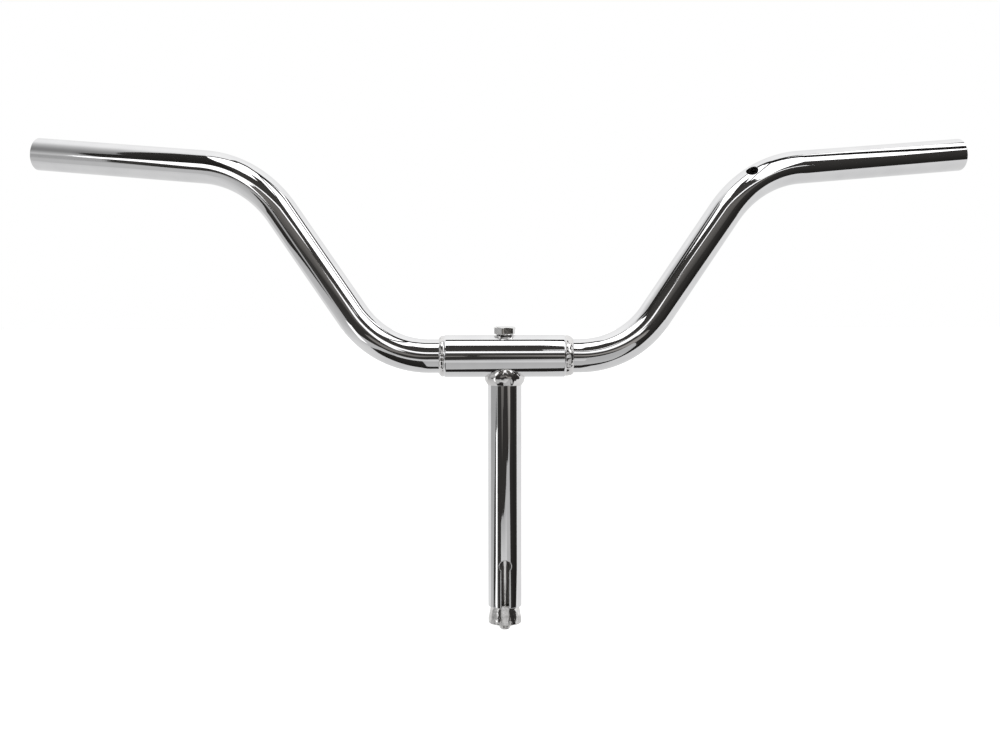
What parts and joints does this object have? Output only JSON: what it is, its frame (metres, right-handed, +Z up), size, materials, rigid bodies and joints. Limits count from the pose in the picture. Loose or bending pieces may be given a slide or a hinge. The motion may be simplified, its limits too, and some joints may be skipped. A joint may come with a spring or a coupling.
{
  "type": "handlebar",
  "caption": "High-rise chromed tube handlebar with a welded centre sleeve and stem; an expander bolt and keyed cone clamp the slotted stem in a fork.",
  "frame": {"origin": "on the stem's axis at the foot of the stem weld, where the fork's steering tube ends", "axes": "+Z up along the stem, +X to the rider's left along the bar's middle, +Y back towards the rider"},
  "size_m": [0.645, 0.0895, 0.3284],
  "materials": {
    "chrome_tube": "mirror-polished chrome plate on steel tube",
    "chrome_weld": "chrome plate over rippled weld beads",
    "zinc_bolt": "bright zinc-plated steel",
    "zinc_cone": "zinc-plated steel with a slightly rough cast skin"
  },
  "bodies": {
    "root": {"handlebar_tube": "chrome_tube", "centre_sleeve": "chrome_tube", "sleeve_weld_left": "chrome_weld", "sleeve_weld_right": "chrome_weld", "stem_tube": "chrome_tube", "stem_weld": "chrome_weld"},
    "bolt": {"expander_bolt": "zinc_bolt"},
    "cone": {"expander_cone": "zinc_cone"}
  },
  "joints": [
    {"name": "bolt_turn", "type": "hinge", "parent": "root", "child": "bolt", "pos_m": [0, 0, 0.03325], "axis": [0, 0, 1], "range_deg": [-360, 1260]},
    {"name": "cone_slide", "type": "slide", "parent": "root", "child": "cone", "axis": [0, 0, 1], "range_m": [-0.00438, 0.00125]}
  ],
  "couplings": [
    {"joint": "bolt_turn", "follows": "cone_slide", "rad_per_m": -5026.5}
  ]
}
